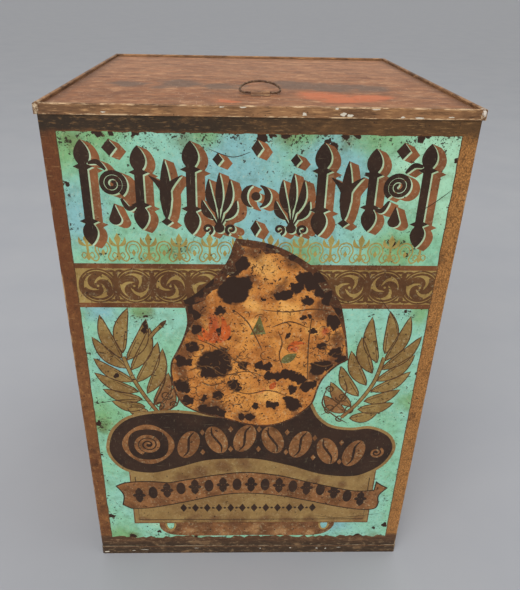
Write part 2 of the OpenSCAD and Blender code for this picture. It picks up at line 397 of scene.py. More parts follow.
def brown_tin(name, is_front=False):
    """The brown of the walls and base, worn to the metal on its edges, and bare
    tin on the faces inside the bin."""
    paint = Paint(name)
    colour = paint.mottle(rgb(124, 80, 46), 80, 0.8, 11, rgb(104, 62, 35), rgb(142, 98, 58))
    if is_front:
        colour = paint.mix(paint.step(paint.x, 110, 165), colour, rgb(170, 120, 68))
        patches, fleck_size, fleck = 0.5, 3.4, rgb(190, 138, 80)
    else:
        colour = side_wear(paint, colour)
        patches, fleck_size, fleck = 0.6, 5.5, rgb(166, 118, 72)
    colour = paint.mottle(colour, 13, patches, 12, rgb(74, 43, 24), rgb(172, 118, 66))
    colour = paint.mottle(colour, fleck_size, patches * 0.9, 13, rgb(60, 37, 22), fleck,
                          (1, 1, 1.4))
    if is_front:
        colour = front_border(paint, colour)
    weave = paint.noise(1.1, (1, 1, 4), 14, 3)
    colour = paint.grain(colour, 0.3, weave, rgb(44, 40, 36), rgb(236, 230, 224))
    level = paint.total(paint.z, paint.share(paint.noise(14, seed=15), 9))
    colour = paint.mix(paint.step(level, 36, 31.5), colour, foot_band(paint, level))
    # Under the rim: the dark margin paint, which also serves as painted shade from the rim above.
    colour = paint.wash(colour, paint.step(level, 470, 477), 0.92, dark_margin_and_rim_shade(paint))
    specks = paint.most(paint.specks(3.0, 0.38, 17), paint.specks(1.2, 0.45, 18))
    colour = paint.wash(colour, specks, 0.75, DARK_RUST)
    scratch = paint.cloud(0.67, 0.75, 0.6, (24, 24, 0.8), 20, 2)
    colour = paint.wash(colour, scratch, 0.5, rgb(196, 158, 106))
    colour = paint.wash(colour, fold_rub(paint), 0.7, rgb(204, 170, 128))
    inner = inner_faces(paint)
    colour = paint.mix(inner, colour, paint.wash(bare_tin(paint), specks, 0.8, RUST))
    rough = paint.total(paint.share(paint.most(weave, specks), 0.25), 0.34)
    fine = paint.less(paint.share(weave, 0.3), specks)
    return paint.done(colour, rough, paint.bump(fine, 0.06, wall_dents(paint)),
                      paint.share(inner, 0.55))


def lid_marks(paint, colour):
    """The lid's grey rubbed places in front of its middle, and its orange stain."""
    where = paint.warped(24, 24, 33, 6)
    rubbed = on_lid([(-116, -55, 22), (-72, -52, 27), (-32, -60, 22), (36, -50, 30),
                     (66, -58, 30), (98, -62, 28)])
    rubbed = paint.step(paint.spots(rubbed, where), -0.05, 0.5)
    grey = paint.mottle(rgb(112, 88, 72), 7, 0.6, 42, rgb(88, 66, 52), rgb(144, 122, 104),
                        (2, 1, 1))
    colour = paint.wash(colour, rubbed, 0.82, grey)
    stain = on_lid([(52, -100, 24), (88, -108, 22), (66, -122, 20), (-28, -138, 14)])
    stain = paint.step(paint.spots(stain, where), -0.1, 0.6)
    orange = paint.mottle(rgb(208, 112, 66), 6, 0.5, 65, rgb(170, 90, 58), rgb(228, 150, 106),
                          (3, 1, 1))
    return paint.wash(colour, stain, 0.8, orange)


def lid_paint(name):
    """The lid's faded copper brown, painted lighter towards the back as a sheen: cloudy
    wear, its marks, painted shade along the edges, a painted highlight along the front
    fold and fine scratches. Its underside is bare tin."""
    paint = Paint(name)
    # Painted sheen: the lid's brown is painted lighter towards the back.
    colour = paint.mix(paint.step(paint.y, -130, 90), rgb(166, 111, 72), rgb(182, 130, 94))
    colour = paint.mottle(colour, 40, 0.6, 31, rgb(142, 92, 62), rgb(190, 142, 104))
    streak = paint.noise(5.0, (1.5, 1.2, 1), 32, 7, 0.7)
    colour = paint.grain(colour, 0.4, streak, rgb(70, 62, 56), rgb(205, 200, 196))
    smear = paint.cloud(0.34, 0.66, 11.0, (3, 1.3, 1), 44, 6, 0.62)
    colour = paint.grain(colour, 0.4, smear, rgb(96, 84, 76), rgb(204, 194, 186))
    colour = paint.mottle(colour, 13, 0.65, 34, rgb(112, 68, 44), rgb(214, 160, 116), (1.6, 1, 1))
    colour = paint.mottle(colour, 4.5, 0.45, 35, rgb(92, 56, 36), rgb(212, 164, 124), (2, 1, 1))
    colour = lid_marks(paint, colour)
    # Painted shade: darker along the lid's edges, beside the raised rim.
    near = paint.most(paint.unsigned(paint.x), paint.unsigned(paint.y))
    near = paint.total(near, paint.share(paint.noise(9, seed=36), 9))
    colour = paint.wash(colour, paint.step(near, 156, 168), 0.7, rgb(92, 62, 42))
    # Painted highlight: pale streaks along the front fold of the lid.
    front_fold_highlight = paint.share(paint.step(paint.y, -142, -160),
                             paint.cloud(0.50, 0.62, 3.5, (3, 1, 1), 43, 6, 0.7))
    colour = paint.wash(colour, front_fold_highlight, 0.75, rgb(210, 164, 112))
    specks = paint.most(paint.specks(2.8, 0.3, 37), paint.specks(1.3, 0.35, 38))
    colour = paint.wash(colour, specks, 0.8, rgb(70, 44, 32))
    scratch = paint.most(paint.noise(0.6, (30, 1, 1), seed=39, detail=2),
                         paint.noise(0.6, (1, 18, 1), seed=40, detail=2))
    colour = paint.wash(colour, paint.step(scratch, 0.66, 0.74), 0.55, rgb(226, 188, 158))
    under = paint.step(paint.z, LID_TOP_MM - 0.2, LID_TOP_MM - 0.3)
    colour = paint.mix(under, colour, paint.mix(specks, bare_tin(paint), RUST))
    rough = paint.total(paint.share(streak, 0.25), 0.34)
    dents = paint.bump(paint.noise(70, seed=41, detail=1), 1.0)
    fine = paint.less(paint.share(streak, 0.4), specks)
    return paint.done(colour, rough, paint.bump(fine, 0.06, dents), paint.share(under, 0.55))


def rim_paint(name, dark, light):
    """Brown of the rim and straps between two tones, streaked along them and rubbed
    bare on every fold, the bare folds painted paler on the front as a highlight."""
    paint = Paint(name)
    colour = paint.mix(paint.cloud(0.35, 0.65, 30, seed=51, detail=5), dark, light)
    colour = paint.mottle(colour, 5, 0.75, 52, rgb(58, 40, 27), rgb(174, 128, 84), (6, 6, 1))
    colour = paint.mottle(colour, 1.6, 0.8, 53, rgb(48, 33, 24), rgb(204, 158, 108), (8, 8, 1))
    low = paint.step(paint.unsigned(paint.less(paint.z, RIM_FOOT_MM + 0.5)), 0.8, 0.3)
    high = paint.step(paint.z, RIM_TOP_MM - 1.1, RIM_TOP_MM - 0.5)
    folds = paint.most(paint.edges(1.0), low, high)
    # Rubbed bare metal on the folds, which also serves as their painted highlights; paler on the
    # front than on the sides.
    rub_and_highlight = paint.share(folds, paint.cloud(0.47, 0.60, 4, (4, 4, 1), 54, 7, 0.7))
    bright = paint.mix(paint.step(paint.y, -150, -164), rgb(172, 132, 96), rgb(222, 188, 146))
    colour = paint.wash(colour, rub_and_highlight, 0.8, bright)
    specks = paint.specks(1.8, 0.45, 55)
    colour = paint.wash(colour, specks, 0.8, DARK_RUST)
    grain = paint.noise(1.6, (3, 3, 1), 56, 5, 0.7)
    rough = paint.total(paint.share(grain, 0.3), 0.32)
    fine = paint.less(paint.share(grain, 0.5), specks)
    return paint.done(colour, rough, paint.bump(fine, 0.06))


def bare_metal(name, tone, tarnish, share=0.5, rough=0.38, metal=0.8):
    """Solder or wire: metal under an uneven tarnish."""
    paint = Paint(name)
    cover = paint.cloud(0.72 - share * 0.5, 0.85 - share * 0.4, 2.4, EVEN, 61, 6, 0.7)
    colour = paint.mix(cover, tone, tarnish)
    pits = paint.noise(0.7, seed=62, detail=4)
    shine = paint.total(paint.share(cover, 0.3), rough)
    bright = paint.share(paint.less(1.0, cover), metal)
    return paint.done(colour, shine, paint.bump(pits, 0.08), bright)


def plain_paper(name, tone):
    """The pale, faintly mottled sheet that the bin stands on."""
    paint = Paint(name)
    soft = paint.noise(160, seed=71, detail=3)
    colour = paint.mix(soft, tone, rgb(182, 184, 188))
    return paint.done(colour, 0.75, paint.bump(paint.noise(2, seed=72), 0.05))


# ---------------------------------------------------------------- drawing
# A shape is a list of (x, z) corners. A drawing is a list of shapes.
BEND_STEPS = 7
LEAF_STEPS = 9


def circle(x, z, radius, tall=1.0, count=28):
    turn = 2 * math.pi / count
    return [(x + radius * math.cos(i * turn), z + tall * radius * math.sin(i * turn))
            for i in range(count)]


def arc(x, z, radius, start, end, count=18):
    """Points on an arc, from and to an angle in degrees."""
    points = []
    for i in range(count + 1):
        angle = math.radians(start + (end - start) * i / count)
        points.append((x + radius * math.cos(angle), z + radius * math.sin(angle)))
    return points


def bend(points):
    """A smooth open line through the points."""
    line = [points[0]] + list(points) + [points[-1]]
    made = []
    for a, b, c, d in zip(line, line[1:], line[2:], line[3:]):
        for i in range(BEND_STEPS):
            t = i / BEND_STEPS
            made.append(tuple(
                0.5 * (2 * q + (r - p) * t + (2 * p - 5 * q + 4 * r - s) * t * t
                       + (3 * q - p - 3 * r + s) * t ** 3)
                for p, q, r, s in zip(a, b, c, d)))
    return made + [tuple(points[-1])]


def spiral(x, z, inner, outer, turns, start=0.0, spin=1, per_turn=26):
    """A line that winds out from inner to outer radius."""
    count = max(4, round(turns * per_turn))
    points = []
    for i in range(count + 1):
        t = i / count
        angle = math.radians(start) + spin * 2 * math.pi * turns * t
        radius = inner + (outer - inner) * t
        points.append((x + radius * math.cos(angle), z + radius * math.sin(angle)))
    return points


def swell(width, tip=0.25, lean=1.0):
    """A width that is thin at both ends: lean under 1 puts the swell early."""
    return lambda t: width * (tip + (1 - tip) * math.sin(math.pi * t ** lean))


def fade(first, last):
    return lambda t: first + (last - first) * t


def stroke(points, width):
    """A ribbon along a line, as one small shape for each of its stretches."""
    wide = width if callable(width) else (lambda t: width)
    sides = []
    last = len(points) - 1
    for i, (x, z) in enumerate(points):
        (ax, az), (bx, bz) = points[max(i - 1, 0)], points[min(i + 1, last)]
        length = math.hypot(bx - ax, bz - az) or 1.0
        half = max(wide(i / last), 0.05) / 2
        nx, nz = -(bz - az) / length * half, (bx - ax) / length * half
        sides.append(((x + nx, z + nz), (x - nx, z - nz)))
    return [[a[0], a[1], b[1], b[0]] for a, b in zip(sides, sides[1:])]


def leaf(base, tip, width, bow=0.0):
    """A pointed leaf from base to tip, bowed to its left by bow of its length."""
    dx, dz = tip[0] - base[0], tip[1] - base[1]
    length = math.hypot(dx, dz)
    nx, nz = -dz / length, dx / length
    left, right = [], []
    for i in range(LEAF_STEPS + 1):
        t = i / LEAF_STEPS
        off = bow * length * math.sin(math.pi * t)
        half = width / 2 * math.sin(math.pi * t ** 0.85) ** 0.8 if 0 < i < LEAF_STEPS else 0.0
        x, z = base[0] + dx * t, base[1] + dz * t
        left.append((x + nx * (off + half), z + nz * (off + half)))
        right.append((x + nx * (off - half), z + nz * (off - half)))
    return left + right[-2:0:-1]


def moved(shapes, dx, dz):
    return [[(x + dx, z + dz) for x, z in shape] for shape in shapes]


def turned(points, x, z, degrees):
    """The points, turned anticlockwise about (0, 0) and then moved by (x, z)."""
    cos, sin = math.cos(math.radians(degrees)), math.sin(math.radians(degrees))
    return [(x + dx * cos - dz * sin, z + dx * sin + dz * cos) for dx, dz in points]


def swept(shapes, dx, dz):
    """The shapes that each shape passes over as it moves by (dx, dz): its two ends,
    and the strip that each run of its edge draws between them."""
    made = shapes + moved(shapes, dx, dz)
    for shape in shapes:
        count = len(shape)
        ahead = [(bx - ax) * dz > (bz - az) * dx
                 for (ax, az), (bx, bz) in zip(shape, shape[1:] + shape[:1])]
        starts = [i for i in range(count) if ahead[i] != ahead[i - 1]]
        for first, last in zip(starts, starts[1:] + [starts[0] + count]):
            run = [shape[i % count] for i in range(first, last + 1)]
            made.append(run + [(x + dx, z + dz) for x, z in reversed(run)])
    return made


def mirrored(shapes, middle=0.0):
    return [[(2 * middle - x, z) for x, z in shape] for shape in shapes]


def area(shape):
    return sum(a[0] * b[1] - b[0] * a[1] for a, b in zip(shape, shape[1:] + shape[:1])) / 2


def anticlockwise(shape):
    return list(shape) if area(shape) > 0 else list(reversed(shape))


def gap(place, a, b):
    """How far a place is from the line between a and b."""
    dx, dz = b[0] - a[0], b[1] - a[1]
    along = (place[0] - a[0]) * dx + (place[1] - a[1]) * dz
    share = min(max(along / (dx * dx + dz * dz or 1.0), 0), 1)
    return math.hypot(a[0] + share * dx - place[0], a[1] + share * dz - place[1])


def inset(shape, depth):
    """The shape with its edge moved in by depth, which may depend on the place."""
    shape = anticlockwise(shape)
    deep = depth if callable(depth) else (lambda x, z: depth)
    before, after = shape[-1:] + shape[:-1], shape[1:] + shape[:1]
    made = []
    for (ax, az), (x, z), (bx, bz) in zip(before, shape, after):
        length = math.hypot(bx - ax, bz - az) or 1.0
        step = deep(x, z)
        point = (x - (bz - az) / length * step, z + (bx - ax) / length * step)
        if all(gap(point, a, b) > 0.9 * step for a, b in zip(shape, after)):
            made.append(point)
    return made


def ragged(start, end, depth, count, rng):
    """A rough edge from start to end, without its last point."""
    (ax, az), (bx, bz) = start, end
    length = math.hypot(bx - ax, bz - az)
    points = [start]
    for i in range(1, count):
        t = (i + rng.uniform(-0.3, 0.3)) / count
        off = rng.uniform(-depth, depth)
        points.append((ax + (bx - ax) * t - (bz - az) / length * off,
                       az + (bz - az) * t + (bx - ax) / length * off))
    return points


def fill(add, cut=(), inside=()):
    """Corners and triangles of the drawing add, less cut, within inside."""
    shapes = [anticlockwise(s) for s in [*add, *cut, *inside]]
    corners, rings = [], []
    for shape in shapes:
        rings.append(list(range(len(corners), len(corners) + len(shape))))
        corners += [Vector(p) for p in shape]
    made = delaunay_2d_cdt(corners, [], rings, 1, 1e-3)
    first_cut = len(add)
    first_inside = first_cut + len(cut)
    kept = []
    for triangle, source in zip(made[2], made[5]):
        wanted = any(i < first_cut for i in source)
        away = any(first_cut <= i < first_inside for i in source)
        within = not inside or any(i >= first_inside for i in source)
        if wanted and within and not away:
            kept.append(triangle)
    used = sorted({i for triangle in kept for i in triangle})
    number = {old: new for new, old in enumerate(used)}
    return ([made[0][i] for i in used],
            [[number[i] for i in triangle] for triangle in kept])


INK_STEP = 0.03 * MM


def add_piece(name, mesh, material, body):
    """Puts a mesh in the scene, in its material, riding a body."""
    mesh.materials.append(material)
    piece = bpy.data.objects.new(name, mesh)
    bpy.context.scene.collection.objects.link(piece)
    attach(piece, body)


def film(name, body, material, face, back, shapes, cut=(), inside=()):
    """A closed film over the shapes, on a wall that faces the front: face and back
    are its y in metres."""
    corners, triangles = fill(shapes, cut, inside)
    count = len(corners)
    points = [(c.x * MM, face, c.y * MM) for c in corners]
    points += [(c.x * MM, back, c.y * MM) for c in corners]
    one_way = {(t[i], t[(i + 1) % len(t)]) for t in triangles for i in range(len(t))}
    rim = [(a, b) for a, b in one_way if (b, a) not in one_way]
    faces = triangles + [[i + count for i in reversed(t)] for t in triangles]
    faces += [[b, a, a + count, b + count] for a, b in sorted(rim)]
    mesh = bpy.data.meshes.new(name)
    mesh.from_pydata(points, [], faces)
    add_piece(name, mesh, material, body)


def ink(name, level, material, add, cut=(), inside=()):
    """A printed layer of the front panel. Each level lies over the last."""
    film(name, "tin", material, FRONT_Y - level * INK_STEP,
         FRONT_Y + INK_STEP, add, cut, inside)


# ---------------------------------------------------------------- front print: shapes
PRINT_LEFT, PRINT_RIGHT = -153, 152
PRINT_LOW, PRINT_HIGH = 26, 470
TITLE_MIDDLE = -3
TITLE_SHADOW = (7.6, -3.0)
TITLE_PALE_LINE = (1.3, -0.9)
LACE_PITCH = 25
FRIEZE_LOW, FRIEZE_HIGH = 324, 357
FRIEZE_BAR = 4.6
PALM_LEAF_W = 12.2
PLAQUE = (-125, 49.5, 128, 141)  # its head is hidden by the tablet


def diamond(x, z, wide, tall):
    return [(x + wide / 2, z), (x, z + tall / 2), (x - wide / 2, z), (x, z - tall / 2)]


def box(left, low, right, high):
    return [(left, low), (right, low), (right, high), (left, high)]


def outline(*runs):
    """A closed shape of smooth runs that meet at sharp corners."""
    points = []
    for run in runs:
        points += bend(run)[:-1]
    return points


def print_ground(rng):
    """The turquoise field, whose edges are chipped, most of all along the foot."""
    low_left, low_right = (PRINT_LEFT, PRINT_LOW), (PRINT_RIGHT, PRINT_LOW)
    high_right, high_left = (PRINT_RIGHT, PRINT_HIGH), (PRINT_LEFT, PRINT_HIGH)
    edge = ragged(low_left, low_right, 2.0, 70, rng)
    edge += ragged(low_right, high_right, 0.35, 60, rng)
    edge += ragged(high_right, high_left, 0.5, 60, rng)
    edge += ragged(high_left, low_left, 0.35, 60, rng)
    return edge


def lance(x, low, high, width):
    """A bar with a leaf-shaped head and foot, each above or below a small collar."""
    head = 2.6 * width
    shapes = [box(x - width * 0.42, low + head * 0.7, x + width * 0.42, high - head * 0.7)]
    shapes.append(leaf((x, high - head), (x, high), 1.5 * width))
    shapes.append(leaf((x, low + head), (x, low), 1.5 * width))
    for z in (low + head, high - head):
        shapes.append(diamond(x, z, 1.9 * width, 0.9 * width))
    return shapes


def teardrop(x, low, high, width):
    """Round below and pointed above."""
    middle = low + width / 2
    return arc(x, middle, width / 2, 180, 360, 14) + [(x, high)]


def lotus(x, low, high, spread):
    """Three petals that open from one foot."""
    middle = (low + high) / 2
    shapes = [leaf((x, low), (x, high), 9)]
    for side in (-1, 1):
        tip = (x + side * spread, middle + 0.25 * (high - low))
        shapes.append(leaf((x + side * 1.5, low + 3), tip, 7.5, bow=side * 0.22))
    shapes.append(diamond(x, low - 1, 9, 7))
    return shapes


def palmette(x, low, high, spread):
    """Five leaves that fan out from a disc, with a curl on each side of it."""
    foot = low + 6
    shapes = [circle(x, foot, 4.2)]
    for angle in range(-70, 71, 35):
        turn = math.radians(angle)
        across = spread * math.sin(turn)
        rise = (high - foot) * math.cos(turn) ** 0.6
        base = (x + 0.3 * across, foot + 0.3 * rise)
        shapes.append(leaf(base, (x + across, foot + rise), 6.0, bow=-0.14 * math.sin(turn)))
        root = (x + 0.34 * across, foot + 0.34 * rise)
        shapes += stroke([(x, foot), root], 1.5)
    for side in (-1, 1):
        curl = spiral(x + side * 9.5, foot - 1, 0.8, 4.4, 1.2, 90 + 90 * side, side)
        shapes += stroke(curl, fade(1.8, 2.6))
    return shapes


def title_ornament():
    """A band of finials, discs and petals, the same on both sides of its middle."""
    half = [diamond(112, 458, 11, 13), teardrop(112, 396, 414, 10), diamond(30, 450, 8, 10)]
    half += lance(133, 378, 464, 8) + lance(91, 392, 460, 8) + lance(51, 388, 464, 8.5)
    half += stroke(spiral(112, 430, 1.5, 10.5, 2.4, 90), fade(2.6, 3.8))
    half += stroke(bend([(129, 446), (122, 447), (116, 441)]), swell(4, 0.4))
    half += stroke(bend([(95, 412), (101, 410), (106, 418)]), swell(4, 0.4))
    half += lotus(71, 400, 450, 13)
    half += palmette(29, 388, 440, 14.5)
    middle = [diamond(0, 459, 9, 13), diamond(0, 394, 8, 14), circle(0, 421, 3.6)]
    for start in (-70, 110):
        middle += stroke(arc(0, 421, 9.4, start, start + 140), swell(5, 0.2))
    shapes = half + mirrored(half) + middle
    return moved(shapes, TITLE_MIDDLE, 0)


def lace():
    """A row of gold fleurs joined by thin ogee arches, along the foot of the title."""
    side = [(0, 389), (2.8, 384), (1.1, 379), (0.9, 372), (2.4, 367), (0, 364)]
    fleur = [side + [(-x, z) for x, z in side[-2:0:-1]]]
    petal = [leaf((0.6, 377), (6.2, 385.5), 3.2, -0.2)]
    curl = stroke(bend([(0.5, 369), (3.4, 371.5), (5.2, 368.5), (3.4, 366), (2.2, 368)]), 0.9)
    fleur += petal + mirrored(petal) + curl + mirrored(curl)
    line = bend([(2.0, 366), (6, 363.8), (8.6, 367.5), (6.2, 374), (8.2, 380), (12.5, 382)])
    inner = bend([(9.8, 371), (8.6, 374.5), (10, 378), (12.5, 379)])
    arch = stroke(line, 1.2) + stroke(inner, 0.8)
    arch += mirrored(arch, LACE_PITCH / 2)
    arch.append(diamond(LACE_PITCH / 2, 371.5, 3.6, 6.5))
    shapes = []
    first = PRINT_LEFT + 13
    for i in range(12):
        x = first + i * LACE_PITCH
        shapes += moved(fleur, x, 0)
        if x + LACE_PITCH < PRINT_RIGHT:
            shapes += moved(arch, x, 0)
    return shapes


def frieze_scrolls():
    """Rings that fill the frieze, each with three scrolled leaves that wind inside
    it, alternately one way and the other. The second list is cut from the first."""
    pitch, radius = 30.6, 14.2
    middle = (FRIEZE_LOW + FRIEZE_HIGH) / 2
    shapes, cuts = [], []
    for i in range(10):
        x = PRINT_LEFT + 18 + i * pitch
        spin = 1 if i % 2 else -1
        shapes += stroke(arc(x, middle, radius, 0, 360, 40), 4.4)
        for start in (30, 210):
            line = arc(x, middle, radius + 0.3, start * spin, (start + 120) * spin)
            cuts += stroke(line, swell(1.0, 0.2))
        for start in (20, 140, 260):
            winding = spiral(x, middle, 2.4, 11.5, 0.42, start * spin, spin)
            shapes += stroke(winding, swell(6.2, 0.3, 1.4))
            turn = math.radians((start + 215) * spin)
            shapes.append(circle(x + 6.8 * math.cos(turn), middle + 6.8 * math.sin(turn), 1.7,
                                 count=10))
        shapes.append(circle(x, middle, 3.4, count=14))
        cuts.append(circle(x, middle, 1.1, count=8))
        between = x + pitch / 2
        for rail, step in ((FRIEZE_LOW + 2.6, 1), (FRIEZE_HIGH - 2.6, -1)):
            shapes.append(circle(between, rail + 2.2 * step, 2.3, count=12))
            shapes.append(leaf((between, rail + 2 * step), (between, rail + 11 * step), 4.2))
            for side in (-1, 1):
                tip = (between + 8 * side, rail - 0.6 * step)
                shapes.append(leaf((between, rail), tip, 2.6))
    return shapes, cuts


def medallion():
    """The outline of the picture: a lumpy shield with two pointed shoulders."""
    return outline(
        [(-18.5, 385), (3.5, 382), (23, 375), (41, 364), (53.5, 354), (64, 339), (72, 327),
         (76, 316), (81.5, 292), (86, 265)],
        [(86, 265), (76, 258), (66, 246), (61, 234), (57, 216), (50, 206), (38, 195), (26, 189),
         (11, 186), (-7, 188), (-27, 195), (-45, 200), (-57, 205), (-68, 213), (-75, 228),
         (-78, 246), (-77, 262), (-71, 275), (-65, 289), (-61, 304), (-62, 319), (-65.5, 326)],
        [(-65.5, 326), (-56, 331), (-43.5, 342), (-31, 356), (-24, 368), (-21, 378),
         (-18.5, 385)])


def picture_edge(x, z):
    """How wide the picture's brown edge is: broad and ragged round the head."""
    high = min(max((z - 292) / 26, 0), 1)
    left = 1.0 if x < -20 else 0.75
    wave = noise.noise(Vector((x * 0.16, z * 0.16, 4.2)))
    return 1.6 + left * high * (6.5 + 5 * wave) + 0.8 * abs(wave)


def picture_patches():
    """Loose flames of red at the left of the picture, and a grey-green cone."""
    red = [leaf((-34, 283), (-48, 300), 7, 0.12), leaf((-32, 284), (-40, 309), 6, 0.1),
           leaf((-30, 286), (-30, 312), 6, -0.08), leaf((-33, 283), (-24, 304), 5, -0.15),
           leaf((-46, 284), (-52, 292), 4), leaf((28, 276), (46, 283), 5, 0.2),
           leaf((15, 231), (20, 240), 6)]
    green = [[(-5, 292), (9, 293), (3, 312)], leaf((24, 262), (38, 272), 9)]
    return red, green


def hills():
    """Fine lines on the picture: a horizon, a shelter's posts and sloping fields."""
    lines = [
        bend([(-54, 288), (-36, 279), (-16, 262), (2, 246)]),
        bend([(4, 318), (28, 316), (50, 319), (70, 316)]),
        bend([(49, 312), (48, 280), (50, 240)]),
        bend([(-62, 252), (-44, 258), (-28, 248), (-8, 252), (10, 246)]),
        bend([(14, 300), (30, 306), (46, 300)]),
        bend([(-20, 318), (-8, 306), (0, 290), (6, 276)]),
        bend([(52, 262), (64, 258), (74, 262)]),
        bend([(-24, 232), (-6, 226), (14, 230), (34, 222)]),
        bend([(-50, 240), (-40, 236), (-28, 240)]),
        bend([(20, 296), (24, 284), (22, 270), (26, 256)]),
    ]
    shapes = []
    for line in lines:
        shapes += stroke(line, swell(1.3, 0.4))
    return shapes


def crackle():
    """Short curved lines scattered over three areas of the picture."""
    areas = ((-72, 206, -8, 282, 95), (46, 252, 78, 298, 30), (-14, 262, 44, 314, 22))
    rng = random.Random(8)
    shapes = []
    for low_x, low_z, high_x, high_z, count in areas:
        for _ in range(count):
            x, z = rng.uniform(low_x, high_x), rng.uniform(low_z, high_z)
            start, sweep = rng.uniform(0, 360), rng.uniform(60, 200)
            radius = rng.uniform(1.5, 5)
            shapes += stroke(arc(x, z, radius, start, start + sweep, 7), swell(0.9, 0.5))
    return shapes


def palm_leaves():
    """Both palms as (base, tip, bow) leaves: the left one, then the right."""
    left = [((-121, 266), (-137, 312)), ((-120, 272), (-112, 319)), ((-117, 264), (-97, 308)),
            ((-114, 253), (-94, 299)), ((-110, 239), (-88, 284)), ((-101, 226), (-84, 277)),
            ((-95, 212), (-80, 250)), ((-90, 204), (-76, 232)), ((-117, 255), (-146, 289)),
            ((-113, 240), (-147, 266)), ((-109, 228), (-148, 250)), ((-106, 219), (-142, 231)),
            ((-104, 210), (-135, 217)), ((-101, 203), (-121, 208))]
    right = [((113, 262), (103, 311)), ((119, 272), (118, 317)), ((120, 264), (137, 312)),
             ((118, 254), (150, 291)), ((115, 241), (147, 271)), ((111, 229), (146, 252)),
             ((106, 217), (139, 231)), ((101, 207), (135, 215)), ((110, 250), (96, 290)),
             ((106, 236), (88, 275)), ((100, 223), (80, 258)), ((94, 211), (72, 240)),
             ((89, 203), (67, 224)), ((94, 196), (121, 203))]
    leaves = []
    for pairs, stem_x in ((left, -110), (right, 110)):
        for base, tip in pairs:
            outward = 1 if tip[0] < stem_x else -1
            leaves.append((base, tip, 0.09 * outward))
    return leaves


def palm_stems():
    return [bend([(-92, 203), (-103, 222), (-113, 244), (-120, 268)]),
            bend([(86, 197), (101, 216), (113, 240), (119, 268)]),
            bend([(-95, 288), (-90, 295), (-84, 301)])]


def tendrils():
    """Curls at the foot of each palm, where it meets the picture."""
    shapes = []
    curls = ((-83, 224, 6, 250, 1), (-90, 212, 5, 20, -1), (-76, 213, 4, 100, 1),
             (84, 222, 6, 290, -1), (74, 208, 6, 160, 1), (92, 207, 5, 30, -1),
             (72, 231, 4, 70, 1), (84, 196, 4, 200, 1))
    for x, z, radius, start, spin in curls:
        shapes += stroke(spiral(x, z, 1.2, radius, 1.3, start, spin, 16), fade(0.9, 1.7))
    for line in ([(-100, 206), (-92, 221), (-84, 240), (-82, 256)],
                 [(-82, 205), (-73, 214), (-72, 226), (-80, 236)],
                 [(92, 190), (78, 200), (66, 214), (70, 236)],
                 [(66, 200), (80, 212), (88, 230), (84, 244)]):
        shapes += stroke(bend(line), swell(1.6, 0.3))
    return shapes


def scratches():
    """Hairline scratches across the field."""
    lines = ([(126, 408), (138, 416), (152, 428)], [(-150, 214), (-120, 219), (-96, 216)],
             [(104, 334), (122, 310), (128, 292)], [(-40, 458), (-22, 452), (-8, 456)],
             [(70, 60), (96, 56), (140, 62)])
    shapes = []
    for line in lines:
        shapes += stroke(bend(line), swell(0.6, 0.3))
    return shapes


def cartouche():
    """The dark tablet under the picture: two lobes with a high neck between them."""
    return outline(
        [(-57, 204), (-76, 206), (-95, 205), (-112, 202), (-127, 195), (-140, 180), (-146, 160),
         (-144, 145), (-135, 131), (-124, 124), (-110, 121), (-96, 121.5), (-72, 129),
         (-45, 138), (-14, 140), (7, 139), (39, 130), (72, 118), (104, 115), (123, 122),
         (138, 136), (145, 155), (141, 170), (131, 180), (115, 186), (98, 184), (82, 186),
         (72, 191), (63, 201), (56, 216)],
        [(56, 216), (40, 212), (10, 205), (-30, 200), (-57, 204)])


def cartouche_ornament():
    """A rosette, then a row of coffee beans and lozenges in place of any words."""
    x, z = -104, 162
    shapes = stroke(spiral(x, z, 1.5, 13, 2.6, 30), fade(2.2, 3.8))
    shapes += stroke(arc(x, z, 23, 0, 360, 48), lambda t: 4.6 + 1.4 * math.cos(8 * math.pi * t))
    bean = circle(0, 0, 10.4, 1.75, 26)
    crease = [(0.5, 17), (-2, 9), (0, 0), (2, -9), (-0.5, -17)]
    row = [(-64, 162), (-36, 168), (-8, 170), (20, 168), (48, 162), (76, 153), (103, 150)]
    creases = []
    for i, (x, z) in enumerate(row):
        tilt = 18 if i % 2 else -18
        shapes.append(turned(bean, x, z, tilt))
        creases += stroke(bend(turned(crease, x, z, tilt)), swell(2.6, 0.3))
    for (ax, az), (bx, bz) in zip(row, row[1:]):
        for dz in (-13, 13):
            shapes.append(diamond((ax + bx) / 2, (az + bz) / 2 + dz, 5, 8))
    shapes += stroke(spiral(126, 151, 1, 7, 1.6, 200), fade(1.6, 2.6))
    return shapes, creases


def banner():
    """The ribbon that sags at both sides, with swallow-tailed ends."""
    return outline(
        [(-142, 105), (-131, 110), (-110, 112), (-86, 110)],
        [(-86, 110), (-64, 115), (-36, 121), (-6, 124.5), (28, 120), (61, 110), (93, 101),
         (112, 97), (130, 98)],
        [(130, 98), (131, 111)],
        [(131, 111), (137, 106), (145, 101)],
        [(145, 101), (137, 90), (138, 79)],
        [(138, 79), (135, 70), (121, 68), (93, 73), (61, 82), (28, 90), (-6, 93.5), (-36, 90),
         (-72, 80), (-107, 72), (-128, 71)],
        [(-128, 71), (-137, 77)],
        [(-137, 77), (-135, 92), (-142, 105)])


def banner_ornament():
    """A chain of lozenges and dots that follows the ribbon."""
    shapes = []
    for i in range(17):
        x = -118 + i * 14.7
        z = 107 - 0.00125 * (x + 6) ** 2 - (3 if x > 90 else 0)
        if i % 2:
            shapes.append(circle(x, z, 4.8, 1.8, 18))
        else:
            for side in (-1, 1):
                shapes.append(leaf((x, z - 0.5 * side), (x, z + 11 * side), 8))
                shapes.append(leaf((x + 1.6 * side, z), (x + 7 * side, z), 5))
    return shapes


def plaque_line():
    """A thin line just inside the plaque's edge."""
    left, low, right = PLAQUE[:3]
    edge = [(left + 4.5, 118), (left + 4.5, low + 4.5), (right - 4.5, low + 4.5),
            (right - 4.5, 116)]
    return stroke(edge, 0.9)


